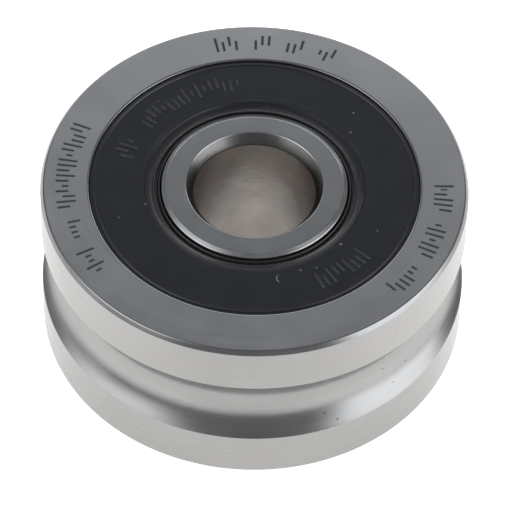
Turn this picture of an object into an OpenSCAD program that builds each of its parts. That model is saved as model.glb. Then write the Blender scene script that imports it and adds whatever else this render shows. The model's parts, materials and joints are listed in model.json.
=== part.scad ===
// Grooved track roller: a double-row angular contact ball bearing whose thick
// outer ring has a Gothic-arch groove that runs along a round guide shaft.
// A stud through the bore holds the inner ring still, and the outer ring turns.
// The roller's axis is Z and the origin is its centre. Lengths are millimetres.

/* [Rings] */
// Outside diameter of the outer ring
outer_d = 42; // [41.5:0.1:43]
// Width of both rings
width = 19; // [18.8:0.1:20]
// Bore of the inner ring
bore_d = 12; // [10:0.1:13]
// Diameter of the inner ring's land, which the seal lips run on
lip_land_d = 18.3; // [18:0.05:18.6]
// Diameter of the inner ring's shoulders beside the balls
inner_shoulder_d = 21.6; // [21.2:0.1:22]
// Diameter of the inner ring's land between the two rows
inner_middle_d = 20; // [19.6:0.1:20.4]
// Diameter of the outer ring's rib between the two rows
outer_rib_d = 27.8; // [27.7:0.1:28.4]
// Diameter of the outer ring's shoulders beside the seals
outer_shoulder_d = 31; // [30.6:0.1:31.2]

/* [Ring edges] */
// Radial size of the chamfer on the outer ring's rim
rim_chamfer_r = 0.3; // [0.2:0.05:0.6]
// Axial size of the chamfer on the outer ring's rim
rim_chamfer_z = 0.45; // [0.2:0.05:0.6]
// Radial size of the chamfer on the inner ring's outer edge
land_chamfer_r = 0.45; // [0.2:0.05:0.6]
// Axial size of the chamfer on the inner ring's outer edge
land_chamfer_z = 0.2; // [0.1:0.05:0.5]
// Radial size of the chamfer at each end of the bore
bore_chamfer_r = 0.75; // [0.4:0.05:0.8]
// Axial size of the chamfer at each end of the bore
bore_chamfer_z = 1.1; // [0.6:0.1:1.4]
// Chamfer where the seal seat meets the outer ring's face
seat_chamfer = 0.12; // [0.08:0.02:0.24]

/* [Guide groove] */
// Diameter of the round guide shaft that the groove runs on
shaft_d = 10; // [8:0.5:10]
// Distance from the roller's axis to the guide shaft's axis
shaft_offset = 24; // [23.8:0.1:24.4]
// Radius of the groove's two arcs over the radius of the shaft
groove_conformity = 1.04; // [1.02:0.01:1.08]
// Angle of the shaft's two contact lines from the groove's middle plane
groove_contact_angle = 45; // [40:1:50]

/* [Ball rows] */
// Diameter of a ball
ball_d = 6.35; // [6:0.05:6.4]
// Balls in each row
balls_per_row = 9; // [7:1:9]
// Diameter of the circle through the ball centres
pitch_d = 25; // [24.9:0.05:25.1]
// Distance between the two rows
row_spacing = 7.5; // [7.2:0.1:7.6]
// Angle between a ball's contact line and the radial plane
contact_angle = 30; // [25:1:35]
// Radius of a raceway over the diameter of a ball
race_conformity = 0.52; // [0.515:0.005:0.53]
// Working gap between a ball and each raceway along the contact line
ball_gap = 0.03; // [0.01:0.01:0.05]

/* [Cages] */
// Radial thickness of a cage
cage_t = 2.4; // [2:0.1:2.6]
// Clearance between a ball and its pocket
pocket_gap = 0.1; // [0.05:0.05:0.15]
// Thickness of the cage's ring behind the pockets
cage_back_t = 0.55; // [0.4:0.05:0.6]
// How far the horns reach past the ball centres
horn_reach = 1.55; // [1.2:0.05:1.8]
// Width of the slot between the two horns of a bridge
horn_slot_w = 0.9; // [0.6:0.1:1.2]
// Depth of that slot
horn_slot_depth = 1.7; // [1.2:0.1:2]

/* [Seals] */
// Diameter of the seal seat in the outer ring
seat_d = 32.5; // [32.3:0.1:32.7]
// Depth of the seat's floor below the ring's face
seat_depth = 1.9; // [1.8:0.05:2]
// Radial depth of the snap groove at the bottom of the seat
snap_depth = 0.35; // [0.2:0.05:0.4]
// Depth of the seal's face below the ring's face
seal_recess = 0.2; // [0.15:0.05:0.3]
// Thickness of the seal's body
seal_t = 1.35; // [1.25:0.05:1.4]
// Thickness of the steel stiffener in the rubber
stiffener_t = 0.4; // [0.3:0.05:0.5]
// Radius of the moulded bead round the seal's outer edge
rim_bead_r = 0.1; // [0.06:0.01:0.13]
// Running gap between the seal's lip and the inner ring
lip_gap = 0.03; // [0.02:0.01:0.05]

/* [Hidden] */
rows = ["upper", "lower"];
ball_nodes = [for (row = rows, i = [1 : balls_per_row]) str("ball_", row, "_", i)];

$fn = 180;
over = 1; // how far a cut runs past the material that it removes
steel = [0.62, 0.63, 0.64];
ball_steel = [0.78, 0.79, 0.80];
polyamide = [0.85, 0.80, 0.66];
rubber = [0.13, 0.13, 0.14];
zinc = [0.55, 0.56, 0.58];

half_w = width / 2;
outer_r = outer_d / 2;
bore_r = bore_d / 2;
lip_land_r = lip_land_d / 2;
inner_shoulder_r = inner_shoulder_d / 2;
inner_middle_r = inner_middle_d / 2;
outer_rib_r = outer_rib_d / 2;
outer_shoulder_r = outer_shoulder_d / 2;
ball_r = ball_d / 2;
pitch_r = pitch_d / 2;
row_z = row_spacing / 2;

// Guide groove: each arc's centre lies past the shaft's centre, on the contact line
groove_r = groove_conformity * shaft_d / 2;
groove_shift = groove_r - shaft_d / 2;
groove_centre_r = shaft_offset + groove_shift * cos(groove_contact_angle);
groove_centre_z = groove_shift * sin(groove_contact_angle);

// Raceways: the back-to-back arrangement, so the outer contacts lie towards the middle
race_r = race_conformity * ball_d;
race_shift = race_r - ball_r - ball_gap;
race_shift_r = race_shift * cos(contact_angle);
race_shift_z = race_shift * sin(contact_angle);
outer_race_z = row_z + race_shift_z;
inner_race_z = row_z - race_shift_z;

// Seal seat in the outer ring, and the land that the seal's lip runs on
seat_r = seat_d / 2;
seat_z = half_w - seat_depth;
snap_r = seat_r + snap_depth;
snap_h = 0.6; // height of the snap groove's straight wall
snap_top_z = seat_z + snap_h;
seal_top = half_w - seal_recess;
seal_bottom = seal_top - seal_t;
lip_land_reach = 0.6; // how far the land runs on below the seal
lip_land_bottom = seal_bottom - lip_land_reach;

// Seal, from the lip outwards
lip_r = lip_land_r + lip_gap;
lip_tip_w = 0.12; // radial width of the lip's tip
lip_tip_below = 0.05; // how far the tip reaches below the seal's underside
lip_tip_above = 0.08; // height above that underside at which the tip begins
lip_edge_r = lip_land_r + 0.16; // inner edge of the lip's upper rim
lip_edge_w = 0.14;
lip_edge_z = seal_top - 0.22;
lip_back_w = 0.26; // width of the lip where it meets the floor of the channel behind it
channel_z = seal_top - 0.65; // floor of that channel
neck_r = lip_land_r + 0.6; // outer side of that channel, under the seal
ridge_r = neck_r + 0.05; // inner side of the ridge beside the channel
ridge_w = 0.16;
ridge_z = seal_top - 0.25;
trough_z = seal_top - 0.38; // lowest part of the shallow trough outside the ridge
trough_slope = 0.12; // width of the trough's slope up to the ridge
shoulder_r = ridge_r + 1.07; // where the seal's face begins
shoulder_slope = 0.12; // width of the step from the trough up to the face
shoulder_drop = 0.16; // height of that step
stiffener_inner_r = lip_land_r + 1.65;
stiffener_outer_r = outer_shoulder_r + 0.1;
stiffener_flange_h = stiffener_t + 0.4;
seal_gap = 0.05; // between the seal's edge and the ring round it
rim_bead_inset = 0.47; // from the seat's wall to the middle of the bead

// Cage
pocket_r = ball_r + pocket_gap;
cage_top = row_z + pocket_r + cage_back_t;
cage_bottom = row_z - horn_reach;
cage_inner_r = pitch_r - cage_t / 2;
cage_edge = 0.25; // chamfer on the cage's outward edges

function ball_turn(i, row) = (i - 1 + (row == "lower" ? 0.5 : 0)) * 360 / balls_per_row;

// Repeats a half section on both sides of the middle plane
module both_sides() {
    children();
    mirror([0, 1]) children();
}

// Puts an upper piece in its row: the lower row is its mirror image
module in_row(row) {
    if (row == "lower") mirror([0, 0, 1]) children();
    else children();
}

// Section of the groove: the overlap of two circles is a Gothic arch
module groove_section() {
    intersection() {
        translate([groove_centre_r, groove_centre_z]) circle(groove_r);
        translate([groove_centre_r, -groove_centre_z]) circle(groove_r);
    }
}

// What is cut from the upper half of the outer ring's section
module outer_ring_cuts() {
    translate([pitch_r - race_shift_r, outer_race_z]) circle(race_r);
    translate([0, outer_race_z]) square([outer_shoulder_r, width]);
    translate([0, seat_z]) square([seat_r, width]);
    // snap groove, with a sloped upper wall that holds the seal down
    polygon([[seat_r - over, seat_z], [snap_r, seat_z], [snap_r, snap_top_z],
             [seat_r, snap_top_z + snap_depth], [seat_r - over, snap_top_z + snap_depth]]);
    polygon([[seat_r, half_w - seat_chamfer], [seat_r + seat_chamfer + over, half_w + over],
             [seat_r - over, half_w + over]]);
    polygon([[outer_r - rim_chamfer_r, half_w], [outer_r, half_w - rim_chamfer_z],
             [outer_r + over, half_w - rim_chamfer_z], [outer_r + over, half_w + over],
             [outer_r - rim_chamfer_r, half_w + over]]);
}

module outer_ring() {
    color(steel) rotate_extrude() difference() {
        translate([outer_rib_r, -half_w]) square([outer_r - outer_rib_r, width]);
        groove_section();
        both_sides() outer_ring_cuts();
    }
}

// What is cut from the upper half of the inner ring's section
module inner_ring_cuts() {
    translate([pitch_r + race_shift_r, inner_race_z]) circle(race_r);
    translate([inner_middle_r, -over])
        square([inner_shoulder_r - inner_middle_r + over, inner_race_z + over]);
    translate([lip_land_r, lip_land_bottom])
        square([inner_shoulder_r - lip_land_r + over, width]);
    polygon([[lip_land_r - land_chamfer_r, half_w], [lip_land_r, half_w - land_chamfer_z],
             [lip_land_r + over, half_w - land_chamfer_z], [lip_land_r + over, half_w + over],
             [lip_land_r - land_chamfer_r, half_w + over]]);
    polygon([[bore_r, half_w - bore_chamfer_z], [bore_r + bore_chamfer_r, half_w],
             [bore_r + bore_chamfer_r, half_w + over], [bore_r - over, half_w + over],
             [bore_r - over, half_w - bore_chamfer_z]]);
}

module inner_ring() {
    color(steel) rotate_extrude() difference() {
        translate([bore_r, -half_w]) square([inner_shoulder_r - bore_r, width]);
        both_sides() inner_ring_cuts();
    }
}

// One ball in its place, turned round the roller's axis
module ball(row, i) {
    color(ball_steel) in_row(row) rotate([0, 0, ball_turn(i, row)])
        translate([pitch_r, 0, row_z]) sphere(ball_r);
}

// Slot that lets the two horns of a bridge spring apart, open towards the middle
module horn_slot() {
    slot_top = cage_bottom + horn_slot_depth;
    translate([cage_inner_r - over, 0, slot_top - horn_slot_w / 2])
        rotate([0, 90, 0]) cylinder(h = cage_t + 2 * over, d = horn_slot_w);
    translate([cage_inner_r - over, -horn_slot_w / 2, cage_bottom - over])
        cube([cage_t + 2 * over, horn_slot_w, slot_top - horn_slot_w / 2 - cage_bottom + over]);
}

// Snap cage: a ring on the outward side with horns that reach round each ball
module cage(row) {
    color(polyamide) in_row(row) difference() {
        rotate_extrude() difference() {
            translate([cage_inner_r, cage_bottom]) square([cage_t, cage_top - cage_bottom]);
            for (r = [cage_inner_r, cage_inner_r + cage_t])
                translate([r, cage_top]) rotate(45)
                    square(cage_edge * sqrt(2), center = true);
        }
        for (i = [1 : balls_per_row]) rotate([0, 0, ball_turn(i, row)]) {
            translate([pitch_r, 0, row_z]) sphere(pocket_r);
            rotate([0, 0, 180 / balls_per_row]) horn_slot();
        }
    }
}

// Section of the steel stiffener: a flat washer with its outer edge turned up
module stiffener_section() {
    translate([stiffener_inner_r, seal_bottom])
        square([stiffener_outer_r - stiffener_inner_r, stiffener_t]);
    translate([stiffener_outer_r - stiffener_t, seal_bottom])
        square([stiffener_t, stiffener_flange_h]);
}

module stiffener(row) {
    color(zinc) in_row(row) rotate_extrude() stiffener_section();
}

// Section of the rubber: a snap foot, a flat face with a trough and a ridge inside it, and a lip
module rubber_section() {
    foot_r = snap_r - seal_gap;
    wall_r = seat_r - seal_gap;
    foot_inner_r = stiffener_outer_r + seal_gap;
    polygon([
        [ridge_r, channel_z], [ridge_r, ridge_z], [ridge_r + ridge_w, ridge_z],
        [ridge_r + ridge_w + trough_slope, trough_z],
        [shoulder_r - shoulder_slope, seal_top - shoulder_drop], [shoulder_r, seal_top],
        [wall_r, seal_top],
        [wall_r, snap_top_z + snap_depth - seal_gap], [foot_r, snap_top_z - seal_gap],
        [foot_r, seat_z], [foot_inner_r, seat_z], [foot_inner_r, seal_bottom],
        [neck_r, seal_bottom], [lip_r + lip_tip_w, seal_bottom - lip_tip_below],
        [lip_r, seal_bottom + lip_tip_above], [lip_edge_r, lip_edge_z],
        [lip_edge_r + lip_edge_w, lip_edge_z], [lip_edge_r + lip_back_w, channel_z]]);
}

module seal(row) {
    color(rubber) in_row(row) {
        rotate_extrude() difference() {
            rubber_section();
            stiffener_section();
        }
        rotate_extrude() translate([seat_r - rim_bead_inset, seal_top]) circle(rim_bead_r);
    }
}

outer_ring();
inner_ring();
for (row = rows) {
    cage(row);
    seal(row);
    stiffener(row);
    for (i = [1 : balls_per_row])
        ball(row, i);
}
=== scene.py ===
"""Looks of the grooved track roller: turned and ground rings, moulded seals, balls and cages,
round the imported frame. Sections are in millimetres, as radius and height above the middle plane."""

import json
import math
import random

import bpy
import numpy as np
from mathutils import Euler, Matrix, Vector


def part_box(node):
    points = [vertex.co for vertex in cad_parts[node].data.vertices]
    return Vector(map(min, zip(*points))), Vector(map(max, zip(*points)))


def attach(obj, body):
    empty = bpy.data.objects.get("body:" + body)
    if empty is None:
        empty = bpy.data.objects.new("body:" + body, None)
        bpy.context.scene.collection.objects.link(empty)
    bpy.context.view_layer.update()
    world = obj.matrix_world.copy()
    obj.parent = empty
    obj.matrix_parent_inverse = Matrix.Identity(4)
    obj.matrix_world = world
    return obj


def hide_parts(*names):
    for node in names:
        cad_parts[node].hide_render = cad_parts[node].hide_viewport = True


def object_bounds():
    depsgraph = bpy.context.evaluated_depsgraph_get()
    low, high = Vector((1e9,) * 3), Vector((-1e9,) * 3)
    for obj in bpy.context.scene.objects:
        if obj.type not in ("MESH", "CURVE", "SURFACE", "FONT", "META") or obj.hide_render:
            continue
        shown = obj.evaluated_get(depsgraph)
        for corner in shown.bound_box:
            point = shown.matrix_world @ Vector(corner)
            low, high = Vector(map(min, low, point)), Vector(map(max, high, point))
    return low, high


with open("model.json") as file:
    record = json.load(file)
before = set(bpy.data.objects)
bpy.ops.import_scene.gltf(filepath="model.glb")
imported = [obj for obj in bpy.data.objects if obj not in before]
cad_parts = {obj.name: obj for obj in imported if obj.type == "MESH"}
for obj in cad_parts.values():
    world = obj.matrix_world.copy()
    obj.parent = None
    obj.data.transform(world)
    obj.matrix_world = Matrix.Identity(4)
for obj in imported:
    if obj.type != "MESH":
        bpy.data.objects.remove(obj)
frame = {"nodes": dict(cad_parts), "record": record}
cad_low, cad_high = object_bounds()

MM = 0.001
rng = random.Random(7)

# ---------------------------------------------------------------- sizes, in millimetres
OUTER_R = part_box("outer_ring")[1].x / MM
HALF_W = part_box("outer_ring")[1].z / MM
BORE_R = [m for m in frame["record"]["mounts"] if m["name"] == "bore"][0]["dims"]["r_mm"]
SEAL_TOP = HALF_W - 0.2  # the flat of the seal's face
SEAL_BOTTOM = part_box("stiffener_upper")[0].z / MM

GROOVE_R, GROOVE_CENTRE = 5.2, (24.1414, 0.1414)  # Gothic arch: two arcs that meet on the middle plane
RACE_R = 3.302
OUTER_RACE, INNER_RACE = (12.416, 3.7985), (12.584, 3.7015)  # centres of the raceways' arcs
RIB_R, SHOULDER_R, SEAT_R, SNAP_R = 13.9, 15.5, 16.25, 16.6  # inside of the outer ring
SEAT_Z = HALF_W - 1.9  # floor of the seal's seat
SNAP_H = 0.6  # height of the snap groove's straight wall
SNAP_TOP_Z = SEAT_Z + SNAP_H + SNAP_R - SEAT_R  # where its sloped wall meets the seat
LAND_R, INNER_SHOULDER_R, MIDDLE_R = 9.15, 10.8, 10.0  # outside of the inner ring
LAND_BOTTOM = SEAL_BOTTOM - 0.6
BORE_CHAMFER, RIM_CHAMFER, LAND_CHAMFER = (0.75, 1.1), (0.3, 0.45), (0.45, 0.2)  # radial and axial
SEAT_EDGE = (0.20, 0.08)  # rounding of the seat's mouth, radial and axial
MOUTH_BULGE = 0.04  # how far the bore's chamfer bulges from a straight cone

RIDGE_R, SHOULDER_IN_R = LAND_R + 0.65, LAND_R + 1.72  # inner sides of the seal's ridge and of its face
LIP_Z, RIDGE_Z, TROUGH_Z, CHANNEL_Z = (SEAL_TOP - d for d in (0.22, 0.25, 0.38, 0.65))
SEAL_GAP = 0.05  # between the seal's edge and the ring round it
STEEL_IN_R, STEEL_OUT_R = LAND_R + 1.65, 15.6  # the stiffener's inner and outer radius
STEEL_T, STEEL_H = 0.4, 0.8  # thickness of the stiffener, and height of its turned-up edge
BEAD_R, BEAD_INSET = 0.1, 0.47  # the bead round the seal's face, and its distance from the seat's wall

RING_ANGLES = np.linspace(0, 2 * math.pi, 360, endpoint=False)
SEAL_COLUMNS = 288  # round the seal, before the columns at its bars' edges


# ---------------------------------------------------------------- sections and lathed meshes
SHARPEST_PLAIN_TURN = math.radians(4)  # a corner that turns less than this isn't rounded
EASE_SHARE = 0.45  # the most of an edge that a rounding may take
EASE_STEP = math.radians(18)  # turn of one facet of a rounding


def arc(centre, radius, start, end, step=5.0):
    """Points of an arc, from one angle to another in degrees."""
    n = max(2, math.ceil(abs(end - start) / step))
    angles = [math.radians(start + (end - start) * i / n) for i in range(n + 1)]
    return [(centre[0] + radius * math.cos(a), centre[1] + radius * math.sin(a)) for a in angles]


def bulged(start, end, rise, steps=8):
    """Points of a line that bulges to its left by a small rise."""
    (r0, z0), (r1, z1) = start, end
    length = math.hypot(r1 - r0, z1 - z0)
    out = (-(z1 - z0) / length, (r1 - r0) / length)
    shares = [i / steps for i in range(steps + 1)]
    return [(r0 + t * (r1 - r0) + 4 * t * (1 - t) * rise * out[0],
             z0 + t * (z1 - z0) + 4 * t * (1 - t) * rise * out[1]) for t in shares]


def angle_at(centre, radius, r=None, z=None, side=1):
    """Angle in degrees at which a circle passes the radius r, or the height z, on the given side."""
    if r is not None:
        return side * math.degrees(math.acos((r - centre[0]) / radius))
    a = math.degrees(math.asin((z - centre[1]) / radius))
    return a if side > 0 else 180 - a


def mirrored(runs):
    """The lower half of a section, from the upper half's runs of (zone, points, ease at the end)."""
    out = []
    for i in range(len(runs) - 1, -1, -1):
        zone, points, _ = runs[i]
        ease = runs[i - 1][2] if i else 0
        out.append((zone, [(r, -z) for r, z in reversed(points)], ease))
    return out


def chain(zone, corners):
    """Runs of one zone round a closed section whose corners are (radius, height, ease)."""
    return [(zone, [a[:2], b[:2]], b[2]) for a, b in zip(corners, corners[1:] + corners[:1])]


def eased(runs):
    """Joins runs into an outline of points, each with the zone of the edge that starts there. The
    corner after each run is rounded to its ease, a radius, and the rounding's zone is "edge"."""
    n = len(runs)
    cut_start, cut_end, rounds = [None] * n, [None] * n, [None] * n
    for i in range(n):
        zone, points, ease = runs[i]
        following = runs[(i + 1) % n][1]
        p = np.array(points[-1])
        before, after = np.array(points[-2]) - p, np.array(following[1]) - p
        long_before, long_after = np.linalg.norm(before), np.linalg.norm(after)
        before, after = before / long_before, after / long_after
        turn = math.acos(max(-1, min(1, -float(before @ after))))
        if ease <= 0 or turn < SHARPEST_PLAIN_TURN:
            continue
        back = min(ease * math.tan(turn / 2), EASE_SHARE * long_before, EASE_SHARE * long_after)
        a, b = p + before * back, p + after * back
        radius = back / math.tan(turn / 2)
        centre = p + (before + after) / np.linalg.norm(before + after) * radius / math.cos(turn / 2)
        steps = max(2, round(turn / EASE_STEP))
        first = math.atan2(*(a - centre)[::-1])
        sweep = math.atan2(*(b - centre)[::-1]) - first
        sweep = (sweep + math.pi) % (2 * math.pi) - math.pi
        turns = [first + sweep * k / steps for k in range(1, steps)]
        rounds[i] = [centre + radius * np.array([math.cos(t), math.sin(t)]) for t in turns]
        cut_end[i], cut_start[(i + 1) % n] = a, b
    outline = []
    for i in range(n):
        zone, points, _ = runs[i]
        points = [np.array(p) for p in points]
        if cut_start[i] is not None:
            points[0] = cut_start[i]
        if cut_end[i] is not None:
            points[-1] = cut_end[i]
            outline += [(p, zone) for p in points[:-1]]
            outline += [(p, "edge") for p in [points[-1]] + rounds[i]]
        else:
            outline += [(p, zone) for p in points[:-1]]
    return outline


def lathe(name, outline, materials, angles, lift=None):
    """Revolves a closed outline about Z. materials maps a zone to its material, and lift(r, z, angle)
    is how far a point is raised."""
    slots = list(dict.fromkeys(materials.values()))
    points = np.array([p for p, _ in outline])
    zones = [slots.index(materials[z]) for _, z in outline]
    n, m = len(points), len(angles)
    z = np.repeat(points[None, :, 1], m, 0)
    if lift:
        for j, a in enumerate(angles):
            z[j] += [lift(r, h, a) for r, h in points]
    co = np.empty((m, n, 3))
    co[..., 0] = np.cos(angles)[:, None] * points[None, :, 0]
    co[..., 1] = np.sin(angles)[:, None] * points[None, :, 0]
    co[..., 2] = z
    ids = np.arange(m * n).reshape(m, n)
    across, round_ = np.roll(ids, -1, 1), np.roll(ids, -1, 0)
    faces = np.stack([ids, round_, np.roll(round_, -1, 1), across], -1).reshape(-1, 4)
    following = np.roll(points, -1, 0)
    area = float(np.sum(points[:, 0] * following[:, 1] - following[:, 0] * points[:, 1]))
    if area < 0:
        faces = faces[:, ::-1]
    mesh = bpy.data.meshes.new(name)
    mesh.from_pydata((co.reshape(-1, 3) * MM).tolist(), [], faces.tolist())
    for material in slots:
        mesh.materials.append(material)
    mesh.polygons.foreach_set("material_index", np.tile(zones, m).astype(np.int32))
    weigh_normals(mesh)
    piece = bpy.data.objects.new(name, mesh)
    bpy.context.scene.collection.objects.link(piece)
    return piece


def weigh_normals(mesh):
    """Smooth shading in which large faces outweigh small ones, so flats beside roundings stay flat."""
    mesh.polygons.foreach_set("use_smooth", [True] * len(mesh.polygons))
    count = len(mesh.polygons)
    normals, areas = np.empty(count * 3), np.empty(count)
    mesh.polygons.foreach_get("normal", normals)
    mesh.polygons.foreach_get("area", areas)
    totals = np.empty(count, np.int32)
    mesh.polygons.foreach_get("loop_total", totals)
    corners = np.empty(len(mesh.loops), np.int32)
    mesh.loops.foreach_get("vertex_index", corners)
    weighted = np.repeat(normals.reshape(-1, 3) * areas[:, None], totals, 0)
    total = np.zeros((len(mesh.vertices), 3))
    np.add.at(total, corners, weighted)
    total /= np.maximum(np.linalg.norm(total, axis=1, keepdims=True), 1e-20)
    mesh.normals_split_custom_set_from_vertices(total.tolist())


# ---------------------------------------------------------------- node materials
class Nodes:
    """The node tree of a material or a world, with short calls for the nodes that are used here."""

    def __init__(self, owner):
        owner.use_nodes = True
        self.owner = owner
        self.tree = owner.node_tree
        self.tree.nodes.clear()

    def add(self, kind, inputs=(), **settings):
        node = self.tree.nodes.new(kind)
        for key, value in settings.items():
            setattr(node, key, value)
        for key, value in dict(inputs).items():
            if isinstance(value, bpy.types.NodeSocket):
                self.tree.links.new(value, node.inputs[key])
            else:
                node.inputs[key].default_value = value
        return node

    def math(self, operation, *values):
        return self.add("ShaderNodeMath", enumerate(values), operation=operation).outputs[0]

    def product(self, first, *others):
        for other in others:
            first = self.math("MULTIPLY", first, other)
        return first

    def scaled(self, vector, by):
        return self.add("ShaderNodeVectorMath", {0: vector, 3: by}, operation="SCALE").outputs[0]

    def stretched(self, vector, scales):
        return self.add("ShaderNodeMapping", {"Vector": vector, "Scale": scales}).outputs[0]

    def ramp(self, value, low, high, to_low=0.0, to_high=1.0, smooth=False):
        kind = "SMOOTHSTEP" if smooth else "LINEAR"
        node = self.add("ShaderNodeMapRange", {0: value, 1: low, 2: high, 3: to_low, 4: to_high},
                        interpolation_type=kind)
        return node.outputs[0]

    def mix(self, share, a, b):
        node = self.add("ShaderNodeMix", {0: share, 6: a, 7: b}, data_type="RGBA")
        return node.outputs[2]

    def noise(self, vector, scale, detail=3.0, rough=0.5, w=None):
        inputs = {"Vector": vector, "Scale": scale, "Detail": detail, "Roughness": rough}
        if w is not None:
            inputs["W"] = w
        return self.add("ShaderNodeTexNoise", inputs,
                        noise_dimensions="3D" if w is None else "4D").outputs[0]

    def place(self):
        """The point in the piece's own frame, in millimetres: its vector, radius, x, y and z."""
        point = self.scaled(self.add("ShaderNodeTexCoord").outputs["Object"], 1 / MM)
        x, y, z = self.add("ShaderNodeSeparateXYZ", {0: point}).outputs
        r = self.math("SQRT", self.math("ADD", self.product(x, x), self.product(y, y)))
        return point, r, x, y, z

    def lines(self, r, x, y, z, fine, drift=2.0):
        """Noise in circumferential lines: fast across the section and slow round the axis."""
        cosine, sine = self.math("DIVIDE", x, r), self.math("DIVIDE", y, r)
        vector = self.add("ShaderNodeCombineXYZ", {
            0: self.math("MULTIPLY", r, fine), 1: self.math("MULTIPLY", z, fine),
            2: self.math("MULTIPLY", cosine, drift)}).outputs[0]
        return self.noise(vector, 1.0, 3.0, 0.6, w=self.math("MULTIPLY", sine, drift))

    def distance(self, point, place):
        node = self.add("ShaderNodeVectorMath", {0: point, 1: place}, operation="DISTANCE")
        return node.outputs["Value"]

    def ball(self, point, place, radius):
        """1 within the radius of a place and 0 outside, with a soft edge."""
        return self.ramp(self.distance(point, place), radius, radius * 0.5)

    def specks(self, point, scale, radius, rarity):
        """Small round specks in a share of the cells of a Voronoi pattern."""
        cell = self.add("ShaderNodeTexVoronoi", {"Vector": point, "Scale": scale}, feature="F1")
        chosen = self.add("ShaderNodeSeparateColor", {0: cell.outputs["Color"]}).outputs[0]
        return self.math("MULTIPLY", self.ramp(cell.outputs["Distance"], radius * 1.3, radius * 0.7),
                         self.math("GREATER_THAN", chosen, rarity))

    def bump(self, height, strength, distance):
        return self.add("ShaderNodeBump", {"Height": height, "Strength": strength,
                                           "Distance": distance * MM}).outputs[0]

    def surface(self, **inputs):
        """Ends a material in a Principled shader; in a key, underscores stand for an input's spaces."""
        named = {key.replace("_", " "): value for key, value in inputs.items()}
        shader = self.add("ShaderNodeBsdfPrincipled", named)
        self.add("ShaderNodeOutputMaterial", {0: shader.outputs[0]})
        return self.owner


def new_material(name):
    return Nodes(bpy.data.materials.new(name))


def rgb(r, g, b):
    return (r, g, b, 1.0)


PIT, ETCHED = rgb(0.06, 0.055, 0.05), rgb(0.030, 0.031, 0.034)
LINE_DEPTH = 0.004  # full depth of the grinding lines, in millimetres


def ground_steel(name, colour, roughness, line_depth, marks=False, mottle=0.06, wave=0.0, pits=0.0):
    """Ground bearing steel: circumferential grinding lines, faint clouding, and etched marks where
    asked. mottle is the clouding's strength, wave the depth in millimetres of a broad unevenness,
    and pits how dark the small pits are."""
    n = new_material(name)
    point, r, x, y, z = n.place()
    fine = n.lines(r, x, y, z, 22.0, 3.0)
    broad = n.lines(r, x, y, z, 3.5, 1.5)
    cloud = n.noise(point, 0.16, 4.0, 0.55)
    shade = n.math("ADD", n.ramp(cloud, 0.3, 0.7, 1 - mottle, 1 + mottle),
                   n.ramp(fine, 0.3, 0.7, -0.03, 0.03))
    tint = n.scaled(colour[:3], shade)
    rough = n.math("ADD", n.ramp(broad, 0.3, 0.7, roughness - 0.03, roughness + 0.03),
                   n.ramp(cloud, 0.3, 0.7, -0.02, 0.03))
    metallic = 1.0
    if pits:
        pitted = n.math("MULTIPLY", n.specks(point, 0.9, 0.09, 0.6), n.ramp(cloud, 0.48, 0.56))
        tint = n.mix(n.math("MULTIPLY", pitted, pits), tint, PIT)
    if marks:
        etched = code_mask(n, r, x, y, z)
        tint = n.mix(etched, tint, ETCHED)
        rough = n.math("ADD", rough, n.math("MULTIPLY", etched, 0.25))
        metallic = n.math("SUBTRACT", 1.0, n.math("MULTIPLY", etched, 0.8))
    normal = n.bump(fine, line_depth, LINE_DEPTH)
    if wave:
        swell = n.add("ShaderNodeBump", {"Height": n.noise(point, 0.5, 3.0, 0.6), "Strength": 1.0,
                                         "Distance": wave * MM, "Normal": normal})
        normal = swell.outputs[0]
    return n.surface(Base_Color=tint, Metallic=metallic, Roughness=rough, Normal=normal)


# Etched strips on the ring's face: start and end azimuth in degrees
STRIPS = [(64.5, 71.0), (75.5, 82.0), (86.5, 91.5), (96.0, 103.0),
          (157.5, 191.5), (195.5, 203.0), (207.0, 218.5),
          (315.5, 327.5), (331.5, 346.0), (350.5, 361.5)]
STRIP_R = 18.55  # middle radius of a strip
BAR_PITCH, BAR_WIDTH, BAR_BLUR = 0.66, 0.27, 0.04  # along that radius
BAR_REACH, BAR_CORE = 0.95, 0.32  # how far a long end and a short end of a bar lie from the middle
LONG_SHARE = 0.55  # share of the ends that are long
DOWN_SEED = 977.0  # sets the lower ends' draw apart from the upper ends'
ETCH_STRENGTH = 0.96


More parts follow.
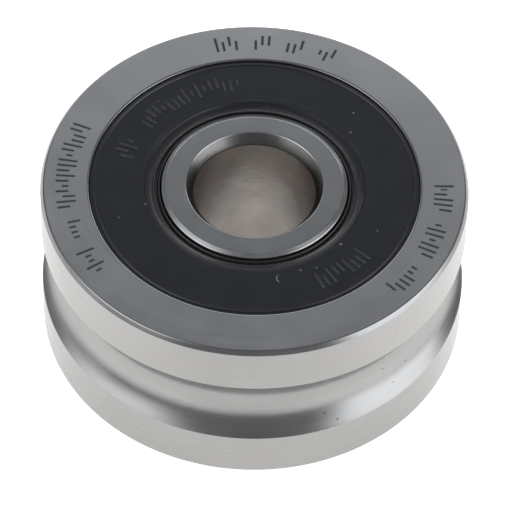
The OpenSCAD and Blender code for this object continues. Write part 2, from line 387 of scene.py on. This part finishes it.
def code_mask(n, r, x, y, z):
    """1 on the etched bars, which have four forms: each of a bar's two ends is long or short."""
    bars_round = 2 * math.pi * STRIP_R / BAR_PITCH
    turn = n.math("FRACT", n.math("DIVIDE", n.math("ARCTAN2", y, x), 2 * math.pi))
    along = n.math("MULTIPLY", turn, bars_round)
    cell = n.math("FLOOR", along)
    off = n.math("ABSOLUTE", n.math("SUBTRACT", n.math("FRACT", along), 0.5))
    half, blur = BAR_WIDTH / BAR_PITCH / 2, BAR_BLUR / BAR_PITCH
    bar = n.ramp(off, half + blur, half - blur, smooth=True)
    centre = n.math("DIVIDE", n.math("ADD", cell, 0.5), bars_round)
    inside = 0.0
    for start, end in STRIPS:
        middle, reach = (start + end) / 2 / 360, (end - start) / 2 / 360
        gap = n.math("ABSOLUTE", n.math("SUBTRACT", centre, middle % 1.0))
        gap = n.math("MINIMUM", gap, n.math("SUBTRACT", 1.0, gap))
        inside = n.math("ADD", inside, n.math("LESS_THAN", gap, reach))
    ends = []
    for seed in (cell, n.math("ADD", cell, DOWN_SEED)):
        drawn = n.add("ShaderNodeTexWhiteNoise", {"W": seed}, noise_dimensions="1D").outputs[0]
        ends.append(n.ramp(n.math("GREATER_THAN", drawn, 1 - LONG_SHARE), 0, 1, BAR_CORE, BAR_REACH))
    height = n.math("SUBTRACT", r, STRIP_R)
    above = n.ramp(n.math("SUBTRACT", height, ends[0]), BAR_BLUR, -BAR_BLUR, smooth=True)
    below = n.ramp(n.math("ADD", height, ends[1]), -BAR_BLUR, BAR_BLUR, smooth=True)
    on_top = n.math("GREATER_THAN", z, 0.0)
    return n.product(bar, inside, above, below, on_top, ETCH_STRENGTH)


# Specks of lint on the upper seal: azimuth in degrees, radius on the seal, and size
LINT = [(320.0, 11.1, 0.17), (194.0, 10.9, 0.15), (228.5, 9.45, 0.16), (37.5, 11.8, 0.13),
        (336.0, 13.2, 0.1)]
FIBRE_AZ, FIBRE_R = 281.5, 11.9  # a curled fibre on the seal's face
CURL_R, CURL_TURN = 0.55, 2.5  # its radius, and how far round the seal its centre lies from its middle
RUBBER_DARK, RUBBER_LIGHT = rgb(0.0085, 0.0097, 0.0125), rgb(0.012, 0.0132, 0.0160)
SCUFFED, GREASY, STREAKED = rgb(0.085, 0.087, 0.09), rgb(0.024, 0.024, 0.025), rgb(0.075, 0.077, 0.08)
DUST = rgb(0.35, 0.35, 0.34)


def on_seal(azimuth, radius):
    """A point of the upper seal's face, in millimetres; azimuth in degrees."""
    a = math.radians(azimuth)
    return Vector((radius * math.cos(a), radius * math.sin(a), SEAL_TOP))


def seal_rubber():
    """Black nitrile: a soft sheen, fine grain, scuffed tops of the moulded bars, a little dust, and a
    greasy band with broken streaks beside the lip."""
    n = new_material("seal_rubber_black")
    point, r, x, y, z = n.place()
    grain = n.noise(point, 9.0, 4.0, 0.6)
    cloud = n.noise(point, 0.35, 3.0, 0.5)
    ring = n.lines(r, x, y, z, 5.0, 1.0)
    height = n.math("ABSOLUTE", z)
    raised = n.ramp(height, SEAL_TOP + 0.02, SEAL_TOP + 0.055)
    on_face = n.math("MULTIPLY", n.math("GREATER_THAN", r, 12.0), n.math("LESS_THAN", r, 15.0))
    scuff = n.product(raised, on_face, n.ramp(grain, 0.35, 0.6))
    dust = n.specks(point, 0.62, 0.06, 0.72)
    for azimuth, radius, size in LINT:
        dust = n.math("MAXIMUM", dust, n.ball(point, on_seal(azimuth, radius), size))
    off_curl = n.math("SUBTRACT", n.distance(point, on_seal(FIBRE_AZ + CURL_TURN, FIBRE_R)), CURL_R)
    fibre = n.math("MULTIPLY", n.ramp(n.math("ABSOLUTE", off_curl), 0.09, 0.03),
                   n.ball(point, on_seal(FIBRE_AZ, FIBRE_R), 0.6))
    dust = n.math("MAXIMUM", dust, fibre)
    base = n.mix(n.ramp(cloud, 0.35, 0.7), RUBBER_DARK, RUBBER_LIGHT)
    base = n.mix(n.math("MULTIPLY", scuff, 0.75), base, SCUFFED)
    base = n.mix(n.math("MULTIPLY", dust, 0.55), base, DUST)
    rough = n.math("ADD", n.ramp(ring, 0.3, 0.7, 0.42, 0.5), n.math("MULTIPLY", scuff, 0.15))
    greasy = n.ramp(r, LAND_R + 1.3, LAND_R + 0.95)
    off_bead = n.math("ABSOLUTE", n.math("SUBTRACT", r, SEAT_R - BEAD_INSET))
    shiny = n.math("MAXIMUM", greasy, n.ramp(off_bead, BEAD_R + 0.05, BEAD_R))
    rough = n.math("SUBTRACT", rough, n.math("MULTIPLY", shiny, 0.22))
    base = n.mix(greasy, base, GREASY)
    streak = n.ramp(n.lines(r, x, y, z, 4.0, 1.6), 0.56, 0.66)
    past_ridge = n.ramp(r, RIDGE_R, RIDGE_R + 0.2)
    near_lip = n.ramp(r, SHOULDER_IN_R + 1.0, SHOULDER_IN_R)
    base = n.mix(n.product(streak, past_ridge, near_lip, 0.5), base, STREAKED)
    return n.surface(Base_Color=base, Roughness=rough, IOR=1.5,
                     Specular_IOR_Level=n.ramp(shiny, 0.0, 1.0, 0.38, 0.8),
                     Normal=n.bump(grain, 0.25, 0.02))


def polished_steel():
    """Lapped chrome-steel balls: nearly a mirror, with faint clouding and hairline marks."""
    n = new_material("ball_lapped_steel")
    point, *_ = n.place()
    cloud = n.noise(point, 0.6, 4.0, 0.6)
    hair = n.noise(point, 14.0, 2.0, 0.7)
    tint = n.mix(cloud, rgb(0.66, 0.67, 0.68), rgb(0.74, 0.75, 0.76))
    return n.surface(Base_Color=tint, Metallic=1.0, Roughness=n.ramp(cloud, 0.3, 0.7, 0.05, 0.1),
                     Normal=n.bump(hair, 0.08, 0.002))


def cage_polyamide():
    """Glass-filled polyamide: off-white, slightly translucent, with a fibrous moulded grain."""
    n = new_material("cage_natural_polyamide")
    point, *_ = n.place()
    fibres = n.noise(n.stretched(point, (9.0, 9.0, 2.0)), 1.0, 4.0, 0.6)
    cloud = n.noise(point, 0.5, 3.0, 0.5)
    base = n.mix(cloud, rgb(0.62, 0.55, 0.38), rgb(0.72, 0.66, 0.50))
    base = n.mix(n.ramp(fibres, 0.5, 0.8, 0.0, 0.25), base, rgb(0.50, 0.44, 0.31))
    return n.surface(Base_Color=base, Roughness=n.ramp(fibres, 0.3, 0.7, 0.42, 0.58),
                     Subsurface_Weight=0.12, Subsurface_Radius=(0.001, 0.0008, 0.0005),
                     Normal=n.bump(fibres, 0.2, 0.01))


def pressed_steel():
    """Zinc-coated sheet: a pressed washer with rolled grain and light clouding."""
    n = new_material("stiffener_zinc_sheet")
    point, *_ = n.place()
    grain = n.noise(n.stretched(point, (1.0, 14.0, 14.0)), 1.0, 3.0, 0.6)
    cloud = n.noise(point, 0.5, 4.0, 0.6)
    tint = n.mix(cloud, rgb(0.44, 0.46, 0.49), rgb(0.56, 0.57, 0.58))
    return n.surface(Base_Color=tint, Metallic=1.0, Roughness=n.ramp(cloud, 0.3, 0.7, 0.32, 0.48),
                     Normal=n.bump(grain, 0.15, 0.004))


FACE = ground_steel("ring_face_ground", rgb(0.410, 0.413, 0.419), 0.36, 0.22, marks=True)
INNER_FACE = ground_steel("inner_face_ground", rgb(0.320, 0.325, 0.331), 0.34, 0.22)
LAND = ground_steel("ring_tread_ground", rgb(0.336, 0.331, 0.325), 0.26, 0.08, mottle=0.03)
GROOVE = ground_steel("groove_honed", rgb(0.318, 0.315, 0.311), 0.24, 0.10, mottle=0.03, pits=0.8)
CHAMFER = ground_steel("chamfer_turned", rgb(0.31, 0.31, 0.31), 0.22, 0.25)
WORN = ground_steel("chamfer_worn", rgb(0.44, 0.44, 0.44), 0.20, 1.5, mottle=0.35, wave=0.008)
EDGE = ground_steel("edge_rolled", rgb(0.33, 0.33, 0.33), 0.20, 0.05)
INNER_EDGE = ground_steel("inner_edge_rolled", rgb(0.47, 0.47, 0.47), 0.20, 0.6, mottle=0.25)
# Painted reflection on the bore: its warm tint and strong mottling stand for the warm, blotchy
# surroundings it mirrors; its grinding lines are real.
BORE = ground_steel("bore_ground", rgb(0.455, 0.424, 0.403), 0.25, 0.02, mottle=0.24, wave=0.03)
MOUTH = ground_steel("bore_chamfer_turned", rgb(0.172, 0.170, 0.162), 0.30, 0.8, mottle=0.15, wave=0.03)
RACE = ground_steel("raceway_superfinished", rgb(0.55, 0.55, 0.55), 0.08, 0.04, mottle=0.02)
SEAT = ground_steel("seat_turned", rgb(0.38, 0.38, 0.38), 0.35, 0.5)

RINGS = {"face": FACE, "land": LAND, "groove": GROOVE, "chamfer": CHAMFER, "edge": EDGE,
         "race": RACE, "seat": SEAT, "mouth": MOUTH}


# ---------------------------------------------------------------- the two rings
def outer_ring():
    """Section, anticlockwise from the groove's middle: out, up, over the face and down the inside."""
    top = HALF_W
    rim_r, rim_z = RIM_CHAMFER
    cx, cz = GROOVE_CENTRE
    centre = (cx, -cz)
    groove = arc(centre, GROOVE_R, angle_at(centre, GROOVE_R, z=0.0, side=-1),
                 angle_at(centre, GROOVE_R, r=OUTER_R))
    race = arc(OUTER_RACE, RACE_R, angle_at(OUTER_RACE, RACE_R, r=SHOULDER_R),
               angle_at(OUTER_RACE, RACE_R, r=RIB_R, side=-1))
    groove_z = groove[-1][1]
    edge_r, edge_z = SEAT_EDGE
    mouth = [(SEAT_R + edge_r * (1 - math.sin(a)), top - edge_z * (1 - math.cos(a)))
             for a in np.linspace(0, math.pi / 2, 7)]
    upper = [
        ("groove", groove, 0.06),
        ("land", [(OUTER_R, groove_z), (OUTER_R, top - rim_z)], 0.10),
        ("chamfer", [(OUTER_R, top - rim_z), (OUTER_R - rim_r, top)], 0.22),
        ("face", [(OUTER_R - rim_r, top), (SEAT_R + edge_r, top)], 0.0),
        ("edge", mouth, 0.0),
        ("seat", [(SEAT_R, top - edge_z), (SEAT_R, SNAP_TOP_Z)], 0.04),
        ("seat", [(SEAT_R, SNAP_TOP_Z), (SNAP_R, SEAT_Z + SNAP_H)], 0.04),
        ("seat", [(SNAP_R, SEAT_Z + SNAP_H), (SNAP_R, SEAT_Z)], 0.04),
        ("seat", [(SNAP_R, SEAT_Z), (SHOULDER_R, SEAT_Z)], 0.05),
        ("seat", [(SHOULDER_R, SEAT_Z), (SHOULDER_R, race[0][1])], 0.04),
        ("race", race, 0.04),
        ("seat", [(RIB_R, race[-1][1]), (RIB_R, 0.0)], 0.0)]
    return eased(upper + mirrored(upper))


def inner_ring():
    """Section, from the bore's middle up the bore, over the face and down the outside."""
    top = HALF_W
    wide, tall = BORE_CHAMFER
    land_r, land_z = LAND_CHAMFER
    race = arc(INNER_RACE, RACE_R, angle_at(INNER_RACE, RACE_R, r=INNER_SHOULDER_R),
               360 - angle_at(INNER_RACE, RACE_R, r=MIDDLE_R))
    upper = [
        ("bore", [(BORE_R, 0.0), (BORE_R, top - tall)], 0.25),
        ("mouth", bulged((BORE_R, top - tall), (BORE_R + wide, top), MOUTH_BULGE), 0.14),
        ("face", [(BORE_R + wide, top), (LAND_R - land_r, top)], 0.2),
        ("worn", [(LAND_R - land_r, top), (LAND_R, top - land_z)], 0.15),
        ("seat", [(LAND_R, top - land_z), (LAND_R, LAND_BOTTOM)], 0.05),
        ("seat", [(LAND_R, LAND_BOTTOM), (INNER_SHOULDER_R, LAND_BOTTOM)], 0.06),
        ("seat", [(INNER_SHOULDER_R, LAND_BOTTOM), (INNER_SHOULDER_R, race[0][1])], 0.04),
        ("race", race, 0.04),
        ("seat", [(MIDDLE_R, race[-1][1]), (MIDDLE_R, 0.0)], 0.0)]
    return eased(upper + mirrored(upper))


# ---------------------------------------------------------------- the seals
RIB_H, RIB_SLOPE = 0.06, 0.035  # a moulded bar's height, and the width of its sloping side
RIB_ROWS = (12.45, 13.1, 13.75, 14.4)  # radii at which the bars' ends can lie
RIB_PITCH, RIB_WIDTH = 2.9, 1.25  # degrees round the seal
RIB_STRIPS = [(98.0, 148.0), (156.0, 170.0), (298.0, 326.0)]  # degrees
LONG_RIB_SHARE = 0.6  # share of the bars' ends that are long


def moulded_bars():
    """Each raised bar as (start angle, end angle, inner radius, outer radius), angles in radians."""
    bars = []
    for start, end in RIB_STRIPS:
        for i in range(int((end - start) / RIB_PITCH)):
            a = math.radians(start + i * RIB_PITCH)
            inner = RIB_ROWS[0] if rng.random() > 1 - LONG_RIB_SHARE else RIB_ROWS[1]
            outer = RIB_ROWS[3] if rng.random() > 1 - LONG_RIB_SHARE else RIB_ROWS[2]
            bars.append((a, a + math.radians(RIB_WIDTH), inner, outer))
    return bars


def seal_section():
    """Section of the rubber in the upper seal, anticlockwise from the lip's tip: the underside round
    the stiffener, the foot and wall, the face with its bead and the bars' rows, the trough, the ridge
    and the lip."""
    top, bottom = SEAL_TOP, SEAL_BOTTOM
    wall, foot = SEAT_R - SEAL_GAP, SNAP_R - SEAL_GAP
    flange_r, foot_in_r = STEEL_OUT_R - STEEL_T, STEEL_OUT_R + SEAL_GAP
    bead = [(r, z, 0.0) for r, z in arc((SEAT_R - BEAD_INSET, top), BEAD_R, 0, 180, 20)]
    rows = [(row + step, top, 0.0)
            for row in reversed(RIB_ROWS) for step in (RIB_SLOPE, 0.0, -RIB_SLOPE)]
    underside = [
        (LAND_R + 0.03, bottom + 0.08, 0.03), (LAND_R + 0.15, bottom - 0.05, 0.03),
        (LAND_R + 0.65, bottom, 0.0), (STEEL_IN_R, bottom, 0.0), (STEEL_IN_R, bottom + STEEL_T, 0.0),
        (flange_r, bottom + STEEL_T, 0.0), (flange_r, bottom + STEEL_H, 0.0),
        (STEEL_OUT_R, bottom + STEEL_H, 0.0), (STEEL_OUT_R, bottom, 0.0), (foot_in_r, bottom, 0.0),
        (foot_in_r, SEAT_Z, 0.0), (foot, SEAT_Z, 0.1), (foot, SEAT_Z + SNAP_H - SEAL_GAP, 0.1),
        (wall, SNAP_TOP_Z - SEAL_GAP, 0.08), (wall, top, 0.05)]
    lip = [
        (SHOULDER_IN_R, top, 0.1), (SHOULDER_IN_R - 0.12, top - 0.16, 0.1),
        (RIDGE_R + 0.28, TROUGH_Z, 0.12), (RIDGE_R + 0.16, RIDGE_Z, 0.12), (RIDGE_R, RIDGE_Z, 0.06),
        (RIDGE_R, CHANNEL_Z, 0.06), (LAND_R + 0.42, CHANNEL_Z, 0.06),
        (LAND_R + 0.30, LIP_Z, 0.12), (LAND_R + 0.16, LIP_Z, 0.06)]
    return eased(chain("rubber", underside + bead + rows + lip))


def seal(name, rubber, upper=True):
    """One lip seal. The lower one is the upper one turned over about X, so its bars face outward."""
    bars = moulded_bars()
    columns = {round(2 * math.pi * i / SEAL_COLUMNS, 6) for i in range(SEAL_COLUMNS)}
    slope = RIB_SLOPE / RIB_ROWS[1]  # as an angle round the seal
    for start, end, _, _ in bars:
        columns |= {round(a, 6) for a in (start, start + slope, end - slope, end)}
    angles = sorted(columns)
    angles = np.array([a for i, a in enumerate(angles) if i == 0 or a - angles[i - 1] > 2e-4])

    def lift(r, z, a):
        if abs(z - SEAL_TOP) > 1e-6:
            return 0.0
        for start, end, inner, outer in bars:
            if start + 1e-3 < a < end - 1e-3 and inner - 1e-6 < r < outer + 1e-6:
                return RIB_H
        return 0.0

    piece = lathe(name, seal_section(), {"rubber": rubber, "edge": rubber}, angles, lift)
    if not upper:
        piece.data.transform(Matrix.Rotation(math.pi, 4, "X"))
        weigh_normals(piece.data)
    return piece


# ---------------------------------------------------------------- the pieces on their bodies
outer = lathe("outer_ring_body", outer_ring(), RINGS, RING_ANGLES)
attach(outer, "outer_ring")
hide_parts("outer_ring")

INNER_RING = {**RINGS, "face": INNER_FACE, "bore": BORE, "worn": WORN, "edge": INNER_EDGE}
inner = lathe("inner_ring_body", inner_ring(), INNER_RING, RING_ANGLES)
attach(inner, "inner_ring")
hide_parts("inner_ring")

rubber = seal_rubber()
for row in ("upper", "lower"):
    cover = seal(f"seal_{row}_rubber", rubber, row == "upper")
    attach(cover, "outer_ring")
    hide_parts(f"seal_{row}")

carried = {"ball": polished_steel(), "cage": cage_polyamide(), "stiffener": pressed_steel()}
for name, node in frame["nodes"].items():
    kind = name.split("_")[0]
    if kind in carried:
        for slot in node.material_slots:
            slot.material = carried[kind]

# ---------------------------------------------------------------- floor, light and camera
FLOOR_SIZE = 8.0  # metres across
FLOOR_HOLE_R, FLOOR_DISC_R = OUTER_R - 0.5, BORE_R + 1.0  # millimetres
FLOOR_DROP = 0.01  # millimetres below the roller's lower face
SKY_TINT = (0.975, 1.0, 1.035)
BACKDROP = rgb(0.86, 0.86, 0.86)  # what shows above the floor in a low view


def floor_material():
    """Overexposed white paper whose glow is painted light and shade: it glows least inside the bore and
    under the roller, as painted shade, and most at the roller's two sides, as painted light.
    """
    n = new_material("floor_pale")
    point, r, x, y, z = n.place()
    grain = n.noise(point, 0.03, 3.0, 0.5)
    white = n.mix(grain, rgb(0.88, 0.872, 0.862), rgb(0.90, 0.892, 0.882))
    # Painted shade and light: the glow falls from the bore's middle to its wall, is nil under the
    # rings, and grows towards the roller's left and right.
    painted_glow = n.math("ADD", n.ramp(r, 0.0, BORE_R, 0.78, 0.22), n.ramp(r, LAND_R, OUTER_R, 0.0, 0.56))
    painted_glow = n.math("ADD", painted_glow, n.ramp(r, 48.0, 90.0, 0.0, -0.4, smooth=True))
    painted_glow = n.math("ADD", painted_glow, n.ramp(n.math("ABSOLUTE", x), 6.0, 34.0, 0.0, 0.24, smooth=True))
    return n.surface(Base_Color=white, Roughness=0.8, Emission_Color=rgb(1.0, 0.985, 0.965),
                     Emission_Strength=painted_glow)


def floor_outline(reach):
    """Points round the floor's middle, at a radius of reach."""
    return [(reach * math.cos(a), reach * math.sin(a), 0.0) for a in RING_ANGLES]


# The floor is open where the roller hides it, so that a view from below shows the roller:
# a wide flat ring, and a disc that shows through the bore
count = len(RING_ANGLES)
outside = [(k, (k + 1) % count, count + (k + 1) % count, count + k) for k in range(count)]
middle = tuple(range(2 * count, 3 * count))
floor_mesh = bpy.data.meshes.new("floor")
floor_mesh.from_pydata(
    floor_outline(FLOOR_SIZE / 2) + floor_outline(FLOOR_HOLE_R * MM) + floor_outline(FLOOR_DISC_R * MM),
    [], outside + [middle])
floor = bpy.data.objects.new("floor", floor_mesh)
floor.location.z = cad_low.z - FLOOR_DROP * MM
bpy.context.scene.collection.objects.link(floor)
floor_mesh.materials.append(floor_material())


def towards(azimuth, elevation):
    """Unit vector; azimuth in degrees from +X towards +Y."""
    a, e = math.radians(azimuth), math.radians(elevation)
    return Vector((math.cos(a) * math.cos(e), math.sin(a) * math.cos(e), math.sin(e)))


# The studio's soft panels: azimuth and elevation of the middle, half width, half height and
# softness of the edge, all in degrees, then how much light the panel adds to the grey round it
PANELS = {
    "right_softbox": (342, 20, 29, 27, 9, 2.15),
    "left_softbox": (202, 35, 28, 19, 13, 1.6),
    "left_low": (178, 4, 24, 8, 8, 0.36),
    "left_high": (184, 60, 38, 14, 9, 0.75),
    "right_high": (3, 60, 18, 13, 8, 0.65)}
GREY_STEPS = (35, 80)  # degrees above the horizon
GREY_LOW, GREY_MIDDLE, GREY_TOP = 0.27, 0.26, 0.20  # at the horizon, the first step and the second
DARKEST = 0.02


def studio():
    """The light: a grey room with soft panels, all in the world's shader."""
    n = Nodes(bpy.data.worlds.new("studio"))
    direction = n.add("ShaderNodeTexCoord").outputs["Generated"]
    x, y, z = n.add("ShaderNodeSeparateXYZ", {0: direction}).outputs
    azimuth = n.math("DEGREES", n.math("ARCTAN2", y, x))
    elevation = n.math("DEGREES", n.math("ARCSINE", z))
    low, high = GREY_STEPS
    light = n.math("ADD", n.ramp(elevation, 0, low, GREY_LOW, GREY_MIDDLE, smooth=True),
                   n.ramp(elevation, low, high, 0, GREY_TOP - GREY_MIDDLE, smooth=True))
    for middle, height, half_w, half_h, soft, gain in PANELS.values():
        turn = n.math("WRAP", n.math("SUBTRACT", azimuth, middle), 180.0, -180.0)
        across = n.ramp(n.math("ABSOLUTE", turn), half_w + soft, half_w - soft, smooth=True)
        rise = n.math("ABSOLUTE", n.math("SUBTRACT", elevation, height))
        up = n.ramp(rise, half_h + soft, half_h - soft, smooth=True)
        light = n.math("ADD", light, n.product(across, up, gain))
    sky = n.scaled(SKY_TINT, n.math("MAXIMUM", light, DARKEST))
    sky = n.mix(n.add("ShaderNodeLightPath").outputs["Is Camera Ray"], sky, BACKDROP)
    n.add("ShaderNodeOutputWorld", {0: n.add("ShaderNodeBackground", {0: sky}).outputs[0]})
    return n.owner


def softbox(name, azimuth, elevation, distance, width, height, radiance):
    """A rectangular area light that faces the roller; radiance is how bright it looks in a mirror."""
    light = bpy.data.lights.new(name, "AREA")
    light.shape = "RECTANGLE"
    light.size, light.size_y = width, height
    light.energy = radiance * math.pi * width * height
    light.color = SKY_TINT
    lamp = bpy.data.objects.new(name, light)
    direction = towards(azimuth, elevation)
    lamp.location = direction * distance
    lamp.rotation_euler = direction.to_track_quat("Z", "Y").to_euler()
    bpy.context.scene.collection.objects.link(lamp)


bpy.context.scene.world = studio()
softbox("back_softbox", 88, 33, 0.30, 0.30, 0.10, 1.2)

bpy.context.scene.view_settings.view_transform = "Standard"
bpy.context.scene.view_settings.look = "None"

CAMERA_ELEVATION, CAMERA_DISTANCE = 50.77, 0.46454  # degrees, and metres from the roller's centre
CAMERA_TILT, CAMERA_ROLL = 0.002, 1.385  # radians below the centre, and degrees
CAMERA_LENS, CAMERA_SHIFT = 329.6, 0.00404  # millimetres on a 36 mm sensor, and widths of the picture
camera = bpy.data.objects.new("camera", bpy.data.cameras.new("camera"))
camera.data.sensor_width = 36.0
camera.data.lens = CAMERA_LENS
camera.data.shift_x = CAMERA_SHIFT
camera.data.clip_start, camera.data.clip_end = 0.01, 100
camera.location = towards(-90, CAMERA_ELEVATION) * CAMERA_DISTANCE
tilt = Euler((math.pi / 2 - math.radians(CAMERA_ELEVATION) - CAMERA_TILT, 0, 0)).to_matrix()
roll = Matrix.Rotation(math.radians(CAMERA_ROLL), 3, "Z")
camera.rotation_euler = (tilt @ roll).to_euler()
bpy.context.scene.collection.objects.link(camera)
bpy.context.scene.camera = camera
